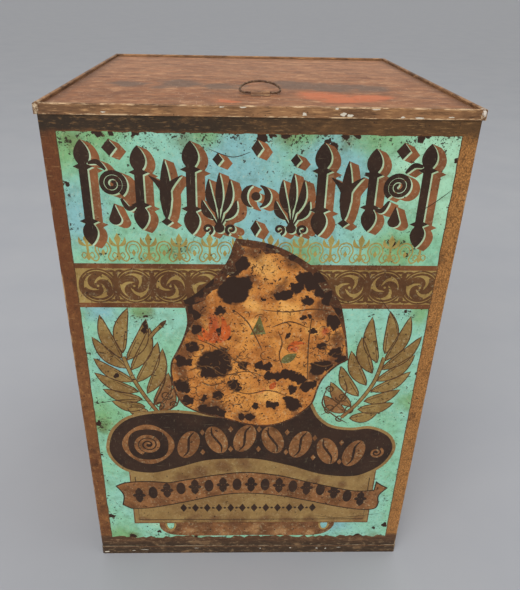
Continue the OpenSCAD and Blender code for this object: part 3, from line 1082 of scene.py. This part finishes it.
def plaque_ornament():
    """A short row of diamonds and dots in the middle of the plaque."""
    shapes = []
    for i in range(12):
        x = -72 + i * 12.6
        shapes.append(diamond(x, 72, 7.5, 12.5))
        if i < 11:
            shapes.append(circle(x + 6.3, 72, 1.5, count=10))
    return shapes


def foot_scroll():
    """The brown scroll below the plaque, with a curl at each end."""
    return outline(
        [(-98, 56), (-99, 43), (-92, 33), (-78, 29), (-40, 28), (0, 28.5), (40, 28), (70, 28.5),
         (84, 33), (92, 44), (91, 56)],
        [(91, 56), (-98, 56)])


def foot_holes():
    """The eye of each curl, and the second list, a ring round it."""
    eyes, rings = [], []
    for x in (-87, 81):
        eyes.append(circle(x, 46.5, 3.8, 1.9, 18))
        ring = circle(x, 46.5, 5.0, 1.7, 24)
        rings += stroke(ring + ring[:1], 1.8)
    return eyes, rings


# ---------------------------------------------------------------- front print: inks
BLOTCHES = (
    (-20, 337, 14), (-11, 343, 8), (-15, 362, 8), (-19, 355, 5), (-51, 330, 6), (-54, 312, 5),
    (-52, 298, 5), (-32, 317, 5), (-31, 297, 5), (-25, 290, 4), (-35, 290, 3), (-37, 260, 16),
    (-30, 271, 7), (-45, 250, 6), (-57, 279, 6), (-68, 263, 6), (-61, 262, 4), (-69, 236, 7),
    (-65, 231, 5), (-63, 218, 6), (-47, 221, 4), (-34, 224, 5), (-20, 237, 6), (-16, 232, 4),
    (-49, 207, 6), (-40, 205, 7), (-31, 202, 5), (-11, 198, 4), (-3, 197, 5), (-11, 259, 5),
    (4, 259, 5), (11, 257, 5), (1, 211, 4), (15, 213, 4), (20, 212, 4), (38, 213, 8),
    (33, 219, 5), (49, 234, 6), (55, 238, 4), (13, 247, 5), (21, 247, 5), (29, 249, 6),
    (37, 246, 6), (43, 243, 6), (36, 232, 5), (58, 256, 8), (66, 259, 6), (74, 273, 6),
    (79, 266, 5), (68, 307, 7), (70, 301, 4), (40, 349, 7), (48, 346, 9), (56, 338, 7),
    (61, 328, 6), (44, 327, 5), (34, 340, 6), (25, 333, 6), (19, 332, 4), (6, 328, 2),
    (42, 310, 2.5), (48, 311, 2.2), (30, 291, 2.5), (52, 296, 3), (60, 280, 4))
NIBBLES = (
    (-122, 470, 4), (-112, 469, 2.5), (-94, 469, 3.5), (-60, 471, 3), (-20, 470, 2), (0, 466, 4),
    (8, 470, 3), (17, 471, 4), (50, 464, 3), (56, 461, 3), (64, 469, 2.5), (72, 471, 3),
    (121, 468, 3.5), (126, 471, 3), (112, 381, 2.5), (123, 371, 2.5), (-66, 380, 2), (40, 392, 1.6),
    (-151, 430, 2.5), (152, 452, 2.5), (-150, 60, 3), (148, 44, 3), (-135, 332, 2.2),
    (131, 318, 2), (84, 440, 1.4), (-96, 311, 2), (-151, 190, 3), (-130, 27, 4), (-60, 27, 3),
    (120, 27, 4), (138, 40, 2), (-100, 34, 2.5), (-152, 150, 2), (152, 250, 2))
PLAQUE_STAINS = ((-72, 118, 12), (-54, 124, 14), (-30, 132, 13), (-8, 134, 12), (66, 112, 12),
                 (96, 106, 10), (-64, 50, 11), (-40, 54, 12), (-16, 50, 12), (10, 54, 11),
                 (36, 50, 12), (62, 52, 12), (-116, 56, 8), (120, 58, 8))
FOOT_RUBS = ((-64, 33, 9), (-30, 31, 8), (6, 40, 11), (34, 33, 9), (62, 34, 8), (-88, 38, 7))
FOOT_STAINS = ((-48, 48, 12), (-20, 50, 10), (26, 50, 11), (56, 48, 11), (-76, 40, 7))


def turquoise():
    """The field's ink: bluer in the middle and at the left, brighter at the upper
    right, and stained green and brown along its edges."""
    blue = [(20, 395, 70), (-20, 440, 60), (60, 440, 50), (-145, 405, 36), (-140, 320, 20),
            (90, 52, 30), (-130, 262, 24)]
    bright = [(140, 455, 46), (150, 410, 30), (128, 440, 40), (-100, 52, 20)]
    green = [(-150, 462, 30), (-120, 470, 24), (-40, 473, 22), (30, 472, 26), (90, 470, 26),
             (110, 375, 30), (-80, 372, 26), (-150, 195, 26), (-146, 30, 26), (40, 372, 22),
             (150, 215, 18), (-100, 318, 16), (146, 316, 16)]
    stained = [(-150, 186, 13), (-64, 375, 12), (112, 380, 12), (-96, 312, 12), (-60, 463, 12),
               (20, 466, 12), (70, 466, 12), (-140, 466, 12), (-60, 26, 12), (-130, 26, 12),
               (140, 28, 12)]
    areas = ((rgb(134, 184, 190), 0.85, blue), (rgb(172, 220, 186), 0.85, bright),
             (rgb(122, 168, 104), 0.75, green), (rgb(104, 112, 60), 0.55, stained))
    crowd = [(x, 468, 17) for x in range(-150, 160, 22)] + [(x, 27, 9) for x in range(-150, 160, 20)]
    crowd += [(-152, z, 8) for z in range(60, 450, 30)] + [(150, z, 5) for z in range(80, 450, 40)]
    crowd += [(-100, 305, 18), (-66, 376, 14), (112, 380, 14), (-150, 190, 14), (128, 376, 14),
              (30, 462, 18), (130, 316, 12)]
    return worn_print("ink_turquoise", rgb(138, 196, 160), rgb(146, 202, 180), 0.42, 60, NIBBLES,
                      0.4, areas, crowd)


def palm_ink():
    """The leaves' tan, redder where they meet the cartouche."""
    red = [(-84, 212, 30), (-76, 232, 18), (78, 214, 26)]
    return worn_print("ink_palm", rgb(150, 122, 70), rgb(136, 104, 58), 0.5, 30,
                      ((-101, 304, 4), (-96, 300, 3.5), (-99, 296, 3), (-128, 246, 3),
                       (-122, 252, 2.5)), 0.5, ((rgb(140, 88, 54), 0.7, red),))


def amber():
    """The picture's ink: glowing orange, browned and blotched round its edge."""
    brown = [(-20, 374, 16), (0, 378, 14), (30, 368, 14), (50, 350, 20), (64, 334, 14),
             (-54, 322, 22), (-60, 300, 16), (-66, 276, 14), (-70, 250, 12), (76, 290, 14),
             (74, 262, 16), (20, 336, 10), (-8, 346, 8), (60, 318, 14), (56, 250, 12),
             (-40, 212, 18), (-10, 198, 12), (-66, 226, 12), (40, 204, 12)]
    red = [(-38, 304, 11), (-32, 294, 8), (-44, 298, 7), (34, 279, 8), (8, 232, 6), (60, 300, 7)]
    pale = [(4, 362, 16), (-2, 322, 14), (26, 318, 12), (14, 226, 16), (-22, 350, 10),
            (48, 296, 10), (-6, 300, 10)]
    areas = ((rgb(236, 172, 90), 0.85, pale), (rgb(108, 66, 38), 0.9, brown),
             (rgb(178, 70, 40), 0.8, red))
    return worn_print("ink_amber", rgb(214, 142, 66), rgb(184, 114, 52), 0.6, 24, BLOTCHES,
                      0.55, areas)


def edge_ink():
    """The picture's dark brown edge, blotched black at its shoulders."""
    marks = ((-58, 328, 6), (-50, 335, 6), (-42, 344, 5), (-56, 318, 5), (62, 332, 5),
             (52, 350, 6), (30, 370, 4), (70, 316, 5), (10, 379, 3))
    return worn_print("ink_edge", rgb(98, 58, 34), rgb(72, 44, 28), 0.5, 12, marks, 0.6)


DARK = worn_print("ink_dark", rgb(58, 39, 28), rgb(46, 31, 23), 0.1, grime=0.06)
TAN = worn_print("ink_tan", rgb(166, 138, 80), rgb(148, 118, 66), 0.4)
BROWN = worn_print("ink_brown", rgb(122, 76, 44), rgb(98, 60, 34), 0.3)
UMBER = worn_print("ink_umber", rgb(102, 68, 38), rgb(88, 56, 32), 0.25)
OLIVE = worn_print("ink_olive", rgb(152, 122, 74), rgb(136, 104, 62), 0.35,
                   areas=((rgb(108, 72, 44), 0.75, PLAQUE_STAINS),))
BRONZE = worn_print("ink_bronze", rgb(146, 98, 58), rgb(120, 78, 46), 0.4, 14, grime=0.6)


def print_title(field):
    """The field, its edge line, and the title's band with its raised shadow."""
    shade = worn_print("ink_shade", rgb(146, 92, 56), rgb(124, 78, 48), 0.2)
    pale = worn_print("ink_pale", rgb(184, 208, 174), rgb(168, 190, 150), 0.15)
    gold = worn_print("ink_gold", rgb(166, 148, 82), rgb(150, 130, 70), 0.25)
    title = title_ornament()
    ink("print_ground", 1, turquoise(), [field])
    ink("print_ground_line", 4, UMBER, stroke(field + field[:1], 0.8))
    ink("print_title_shadow", 3, shade, swept(title, *TITLE_SHADOW))
    ink("print_title_pale", 4, pale, moved(title, *TITLE_PALE_LINE))
    ink("print_title", 5, DARK, title)
    ink("print_lace", 2, gold, lace(), inside=[field])


def print_frieze():
    """The band of scrolls between two bars."""
    band = box(PRINT_LEFT, FRIEZE_LOW, PRINT_RIGHT, FRIEZE_HIGH)
    bars = [box(PRINT_LEFT, FRIEZE_LOW - FRIEZE_BAR, PRINT_RIGHT, FRIEZE_LOW),
            box(PRINT_LEFT, FRIEZE_HIGH, PRINT_RIGHT, FRIEZE_HIGH + FRIEZE_BAR)]
    scrolls, gaps = frieze_scrolls()
    ink("print_frieze", 2, TAN, [band])
    ink("print_frieze_bars", 3, BROWN, bars)
    ink("print_frieze_scrolls", 3, UMBER, scrolls, cut=gaps, inside=[band])


def print_palms(field):
    """Both palms, outlined and ribbed, and the scratches across the field."""
    dusk = worn_print("ink_dusk", rgb(88, 60, 36), rgb(76, 50, 30), 0.2)
    palm = palm_ink()
    rims, ribs = [], []
    for base, tip, bow in palm_leaves():
        rims.append(leaf(base, tip, PALM_LEAF_W, bow))
        ribs += stroke(rims[-1] + rims[-1][:1], 1.0)
        ribs += stroke([base, ((base[0] + tip[0]) / 2, (base[1] + tip[1]) / 2)], 0.7)
    stem_edges, stems = [], []
    for line in palm_stems():
        stem_edges += stroke(line, 4.2)
        stems += stroke(line, 2.6)
    bud = leaf((-87, 298), (-79, 307), 4.4)
    ink("print_palms", 2, palm, rims, inside=[field])
    ink("print_palm_lines", 3, dusk, ribs + stem_edges + [bud] + tendrils(), inside=[field])
    ink("print_palm_stems", 4, palm, stems, inside=[field])
    ink("print_scratches", 6, DARK, scratches(), inside=[field])


def print_labels():
    """The foot scroll, plaque, tablet and ribbon, each over the last."""
    worn_foot = worn_print("ink_foot", rgb(142, 94, 56), rgb(116, 76, 46), 0.45, 14, grime=0.6,
                           areas=((rgb(176, 132, 86), 0.7, FOOT_RUBS),
                                  (rgb(92, 58, 38), 0.7, FOOT_STAINS)))
    eyes, rings = foot_holes()
    ink("print_foot_scroll", 2, worn_foot, [foot_scroll()], cut=eyes)
    ink("print_foot_rings", 3, TAN, rings)
    left, low, right, high = PLAQUE
    ink("print_plaque_edge", 3, BROWN, [box(left - 1.2, low - 1.2, right + 1.2, high)])
    ink("print_plaque", 4, OLIVE, [box(left, low, right, high)])
    ink("print_plaque_ornament", 5, DARK, plaque_ornament() + plaque_line())
    tablet = cartouche()
    beans, creases = cartouche_ornament()
    ink("print_cartouche_edge", 5, OLIVE, [tablet])
    ink("print_cartouche", 6, DARK, [inset(tablet, 3.2)])
    ink("print_cartouche_ornament", 7, BRONZE, beans, cut=creases)
    ribbon = banner()
    ink("print_banner_edge", 7, DARK, [ribbon])
    ink("print_banner", 8, BRONZE, [inset(ribbon, 1.3)])
    ink("print_banner_ornament", 9, DARK, banner_ornament(), inside=[ribbon])


def print_picture():
    """The medallion: its edge, its ground, two loose colours and fine lines."""
    red_ink = worn_print("ink_red", rgb(208, 98, 38), rgb(178, 82, 34), 0.6, 12, grime=0.6)
    green_ink = worn_print("ink_green", rgb(108, 106, 58), rgb(96, 84, 46), 0.5, 12, grime=0.6)
    picture = medallion()
    ground = inset(picture, picture_edge)
    red, green = picture_patches()
    ink("print_medallion_edge", 8, edge_ink(), [picture])
    ink("print_medallion", 9, amber(), [ground])
    ink("print_medallion_red", 10, red_ink, red, inside=[ground])
    ink("print_medallion_green", 10, green_ink, green, inside=[ground])
    ink("print_medallion_lines", 11, UMBER, hills() + crackle(), inside=[ground])


def front_print():
    """Every ink of the front, from the field up to the finest lines."""
    field = print_ground(random.Random(5))
    print_title(field)
    print_frieze()
    print_palms(field)
    print_labels()
    print_picture()


front_print()


# ---------------------------------------------------------------- the metal parts
# How far the rim's folds are rounded, in mm.
RIM_SOFT = 0.12
CHIP_CORNERS = 11


def dress(material, *names, soft=0.0):
    """Gives these CAD nodes the material and, where soft, rounds their edges by soft mm."""
    for name in names:
        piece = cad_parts[name]
        for place in piece.material_slots:
            place.link = "OBJECT"
            place.material = material
        if soft:
            weld = piece.modifiers.new("weld", "WELD")
            weld.merge_threshold = 0.001 * MM
            round_off = piece.modifiers.new("soft edges", "BEVEL")
            round_off.width = soft * MM
            round_off.segments = 2
            round_off.limit_method = "ANGLE"
            round_off.angle_limit = math.radians(40)
            round_off.use_clamp_overlap = True


def dress_metal():
    """Gives every CAD node its material."""
    walls = brown_tin("walls")
    rim = rim_paint("rim", rgb(108, 76, 50), rgb(150, 108, 72))
    strap = rim_paint("strap", rgb(118, 86, 64), rgb(146, 108, 82))
    worn_solder = bare_metal("worn_solder", rgb(176, 152, 122), rgb(98, 70, 46), 0.75, 0.45, 0.3)
    old_solder = bare_metal("old_solder", rgb(122, 98, 74), rgb(88, 60, 40), 0.9, 0.5, 0.4)
    wire = bare_metal("wire", rgb(150, 124, 98), rgb(74, 50, 36), 0.75, 0.32)
    dress(brown_tin("front", True), "front_panel")
    dress(walls, "back_panel", "left_panel", "right_panel", "body_hinge_leaf")
    dress(walls, "bottom_pan", soft=0.2)
    dress(lid_paint("lid"), "lid_panel")
    dress(rim, "lid_rim_front", "lid_rim_back", "lid_rim_left", "lid_rim_right",
          "lid_hinge_leaf", soft=RIM_SOFT)
    dress(strap, "bail_strap", soft=RIM_SOFT)
    dress(worn_solder, "lid_corner_solder", "lid_hinge_solder")
    dress(old_solder, "strap_solder", "seam_solder", "base_solder", "hinge_rivet_set")
    dress(wire, "mouth_wire", "hinge_pin", "bail")


def chip(name, body, wall, place, size, material, rng):
    """A small angular flake of pale metal where the paint has gone from a wall."""
    x, z = place
    wide, tall = size
    edge = []
    for i in range(CHIP_CORNERS):
        turn = 2 * math.pi * i / CHIP_CORNERS
        reach = rng.uniform(0.55, 1.15) / 2
        edge.append((x + reach * wide * math.cos(turn), z + reach * tall * math.sin(turn)))
    film(name, body, material, wall - 2 * INK_STEP, wall + INK_STEP, [edge])


def chip_edges():
    """Flakes along the front of the rim and of the foot, as (x, height above the
    foot of their wall, width, height)."""
    rim = ((31, 2.7, 4, 2.8), (60, 3.0, 5, 3.0), (65, 2.3, 5, 2.2), (104, 1.4, 4, 1.4),
           (117, 1.2, 7, 1.2), (-14, 6.9, 6, 1.0), (-30, 7.0, 4, 0.9), (55, 6.8, 3, 1.6),
           (84, 6.9, 8, 0.9), (-116, 2.2, 4, 1.0), (140, 2.0, 5, 1.0))
    foot = ((12, 7.2, 2, 1.4), (46, 7.6, 2.4, 2.0), (-60, 8.0, 6, 0.7), (86, 6.4, 2, 2),
            (-160, 3, 6, 2.2), (-118, 6.0, 9, 0.8), (101, 8.0, 5, 0.7), (76, 7.0, 3, 1.4),
            (-130, 4.6, 5, 0.8))
    pale = bare_metal("pale_chip", rgb(210, 200, 182), rgb(160, 134, 104), 0.2, 0.5, 0.1)
    rng = random.Random(3)
    walls = (("rim", "lid", RIM_LOW.y, RIM_FOOT_MM, rim), ("foot", "tin", PAN_LOW.y, 0, foot))
    for kind, body, wall, base, chips in walls:
        for x, above, wide, tall in chips:
            name = "%s_chip_%d" % (kind, 200 + x)
            chip(name, body, wall, (x, base + above), (wide, tall), pale, rng)


def solder_lump(name, place, size, material, seed):
    """A small lump of solder on the lid: a smooth core that noise swells and pits."""
    build = bmesh.new()
    bmesh.ops.create_icosphere(build, subdivisions=4, radius=1)
    away = Vector((seed, 2.0 * seed, 0))
    for vertex in build.verts:
        reach = 1 + 0.35 * noise.noise(vertex.co * 1.4 + away)
        reach += 0.14 * noise.noise(vertex.co * 4.5 + away)
        vertex.co = Vector([c * reach * s / 2 for c, s in zip(vertex.co, size)])
        vertex.co = (vertex.co + Vector(place)) * MM
    mesh = bpy.data.meshes.new(name)
    build.to_mesh(mesh)
    build.free()
    for face in mesh.polygons:
        face.use_smooth = True
    add_piece(name, mesh, material, "lid")


def solder_corners():
    """Lumps of solder over the open ends of the rim's side strips, at the front."""
    dull = bare_metal("dull_lump", rgb(206, 184, 152), rgb(112, 78, 50), 0.72, 0.45, 0.2)
    pale = bare_metal("pale_lump", rgb(222, 212, 198), rgb(126, 96, 70), 0.55, 0.4, 0.2)
    x, y = HALF_W_MM + 0.4, RIM_LOW.y / MM + 0.3
    foot, top = RIM_FOOT_MM, RIM_TOP_MM - 0.3
    solder_lump("corner_lump_left", (1.2 - x, y, foot + 4.6), (4.4, 1.6, 8.2), dull, 1)
    solder_lump("corner_lump_left_top", (3.4 - x, y + 1.4, top), (7, 3.2, 1.3), dull, 2)
    solder_lump("corner_lump_right", (x - 0.9, y, foot + 5.2), (3.4, 1.7, 5.8), pale, 3)
    solder_lump("corner_lump_right_low", (x - 1.5, y, foot + 1.9), (3.6, 1.5, 3.8), dull, 5)
    solder_lump("corner_lump_right_top", (x - 1.6, y + 2.0, top), (4, 4.4, 1.2), pale, 4)


dress_metal()
chip_edges()
solder_corners()


# ---------------------------------------------------------------- floor and light
def lay_floor():
    """A pale sheet just under the bin, wide enough to fill the photo's view."""
    reach = 120.0
    level = -0.2 * MM
    corners = ((-reach, -reach), (reach, -reach), (reach, reach), (-reach, reach))
    mesh = bpy.data.meshes.new("floor")
    mesh.from_pydata([(x, y, level) for x, y in corners], [], [(0, 1, 2, 3)])
    mesh.materials.append(plain_paper("paper", rgb(170, 173, 180)))
    floor = bpy.data.objects.new("floor", mesh)
    bpy.context.scene.collection.objects.link(floor)


def aim_lamp(data, place, aim):
    lamp = bpy.data.objects.new(data.name, data)
    lamp.location = place
    lamp.rotation_euler = (Vector(aim) - Vector(place)).to_track_quat("-Z", "Y").to_euler()
    bpy.context.scene.collection.objects.link(lamp)


def soft_lamp(name, place, aim, size, power):
    data = bpy.data.lights.new(name, "AREA")
    data.shape = "DISK"
    data.size = size
    data.energy = power
    aim_lamp(data, place, aim)


def soft_sky(name, place, spread, strength):
    """Even light from the direction of a place, as soft as its spread in degrees."""
    data = bpy.data.lights.new(name, "SUN")
    data.angle = math.radians(spread)
    data.energy = strength
    aim_lamp(data, place, (0, 0, 0.25))


def light_studio():
    soft_sky("key", (-0.9, -2.6, 2.0), 70, 1.5)
    soft_lamp("front_lamp", (-0.9, -2.6, 1.7), (0, -0.1, 0.25), 1.8, 16)
    soft_lamp("top_lamp", (0.3, 0.3, 2.7), (0, 0, 0.3), 2.0, 16)
    world = bpy.data.worlds.new("studio")
    world.use_nodes = True
    background = world.node_tree.nodes["Background"]
    background.inputs["Color"].default_value = (1.0, 0.98, 0.95, 1)
    background.inputs["Strength"].default_value = 0.46
    bpy.context.scene.world = world
    bpy.context.scene.view_settings.view_transform = "Standard"


lay_floor()
light_studio()
